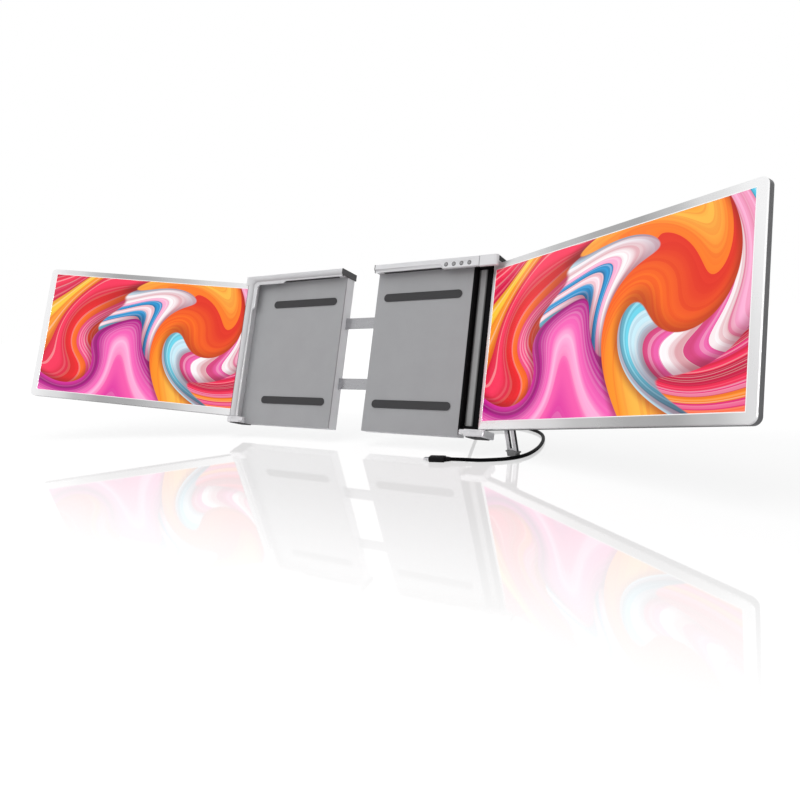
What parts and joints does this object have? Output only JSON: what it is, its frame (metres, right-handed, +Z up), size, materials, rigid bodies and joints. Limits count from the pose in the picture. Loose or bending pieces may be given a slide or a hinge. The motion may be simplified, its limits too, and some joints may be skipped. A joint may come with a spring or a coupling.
{
  "type": "laptop screen extender",
  "caption": "Clip-on extender that slides apart to fit a laptop's lid and carries a swinging screen on each side, with a fold-out stand and a USB-C lead.",
  "frame": {"origin": "middle of the slot for the laptop's lid: midway between the two halves, 5.5 mm behind the lid's glass, level with the feet's undersides along the lid", "axes": "+X to the user's right, +Y away from the user, +Z up; the bracket leans back with the lid by 17.2 degrees"},
  "size_m": [0.9621, 0.3236, 0.2505],
  "materials": {
    "board": "satin",
    "button_grey": "matte",
    "cable_black": "satin",
    "tie_black": "matte",
    "silver_paint": "satin",
    "rubber": "matte",
    "steel": "brushed",
    "dark_cover": "matte",
    "grey_back": "matte",
    "screen_glass": "gloss",
    "screen_panel": "satin",
    "grey_strip": "matte",
    "black_channel": "satin",
    "chrome": "polished"
  },
  "bodies": {
    "right_half": {"button_board": "board", "cable_coil": "cable_black", "cable_laptop_run": "cable_black", "cable_port_run": "cable_black", "cable_tie": "tie_black", "lower_rail": "steel", "main_board": "board", "plug_laptop_end": "cable_black", "plug_port_end": "cable_black", "rail_screws": "steel", "right_back_plate": "silver_paint", "right_back_shell": "silver_paint", "right_channel_strip": "grey_strip", "right_end_cap": "silver_paint", "right_end_cover": "dark_cover", "right_foot": "silver_paint", "right_foot_pad": "rubber", "right_front_frame": "silver_paint", "right_hinge_channel": "black_channel", "right_hinge_pins": "steel", "right_hook": "silver_paint", "right_inner_cover": "dark_cover", "right_lid_pads": "rubber", "right_screws": "steel", "upper_rail": "steel", "usb_port": "steel"},
    "left_half": {"left_front_frame": "silver_paint", "left_hinge_cap": "silver_paint", "left_back_shell": "silver_paint", "left_back_plate": "silver_paint", "left_screws": "steel", "left_foot": "silver_paint", "left_foot_pad": "rubber", "left_hook": "silver_paint", "left_hinge_pins": "steel", "left_inner_cover": "dark_cover", "left_lid_pads": "rubber", "left_rail_guides": "dark_cover"},
    "right_screen": {"right_screen_back_cover": "grey_back", "right_screen_bezel": "silver_paint", "right_screen_driver_board": "board", "right_screen_glass": "screen_glass", "right_screen_hinge_blocks": "steel", "right_screen_panel": "screen_panel", "stand_bracket": "steel", "stand_pin": "steel"},
    "left_screen": {"left_screen_back_cover": "grey_back", "left_screen_bezel": "silver_paint", "left_screen_driver_board": "board", "left_screen_glass": "screen_glass", "left_screen_hinge_blocks": "steel", "left_screen_panel": "screen_panel"},
    "stand": {"stand_leg": "chrome", "stand_foot": "rubber"},
    "button_menu": {"button_menu": "button_grey"},
    "button_down": {"button_down": "button_grey"},
    "button_up": {"button_up": "button_grey"},
    "button_power": {"button_power": "button_grey"}
  },
  "joints": [
    {"name": "halves_slide", "type": "slide", "parent": "right_half", "child": "left_half", "axis": [1, 0, 0], "range_m": [-0.045, 0.049]},
    {"name": "right_screen_swing", "type": "hinge", "parent": "right_half", "child": "right_screen", "pos_m": [0.1918, 0.0363, 0.09868], "axis": [0, 0.2957, 0.9553], "range_deg": [-19.4, 70.6]},
    {"name": "left_screen_swing", "type": "hinge", "parent": "left_half", "child": "left_screen", "pos_m": [-0.1918, 0.0363, 0.09868], "axis": [0, 0.2957, 0.9553], "range_deg": [-70, 20]},
    {"name": "stand_fold", "type": "hinge", "parent": "right_screen", "child": "stand", "pos_m": [0.22278, 0.00595, 0.01595], "axis": [0.9018, -0.4128, 0.1278], "range_deg": [0, 155]},
    {"name": "button_menu_press", "type": "slide", "parent": "right_half", "child": "button_menu", "axis": [0, 0.9553, -0.2957], "range_m": [0, 0.0005], "stiffness_N_per_m": 400},
    {"name": "button_down_press", "type": "slide", "parent": "right_half", "child": "button_down", "axis": [0, 0.9553, -0.2957], "range_m": [0, 0.0005], "stiffness_N_per_m": 400},
    {"name": "button_up_press", "type": "slide", "parent": "right_half", "child": "button_up", "axis": [0, 0.9553, -0.2957], "range_m": [0, 0.0005], "stiffness_N_per_m": 400},
    {"name": "button_power_press", "type": "slide", "parent": "right_half", "child": "button_power", "axis": [0, 0.9553, -0.2957], "range_m": [0, 0.0005], "stiffness_N_per_m": 400}
  ]
}
